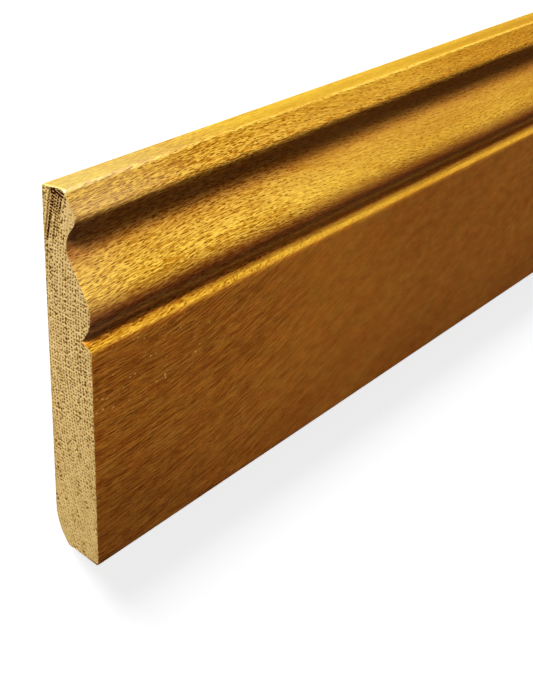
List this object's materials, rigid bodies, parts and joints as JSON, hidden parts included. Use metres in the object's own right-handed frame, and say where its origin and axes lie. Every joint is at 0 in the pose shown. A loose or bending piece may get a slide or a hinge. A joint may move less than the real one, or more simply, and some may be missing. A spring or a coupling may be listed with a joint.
{
  "type": "skirting board length",
  "caption": "Solid oak skirting board with a moulded ogee top, quirk and bevelled quirk arris, flat face, bevelled floor edge and relieved back, sawn square at both ends.",
  "frame": {"origin": "under the middle of the board, on the surface that it lies on with its face up", "axes": "+X along the length, +Y from the floor edge to the moulded top edge, +Z out of the face"},
  "size_m": [2.4, 0.145, 0.02],
  "materials": {
    "oak": "oak, planed and moulded, golden brown satin oil on the faces, bare sawn ends"
  },
  "bodies": {
    "root": {"skirting_board": "oak"}
  },
  "joints": []
}
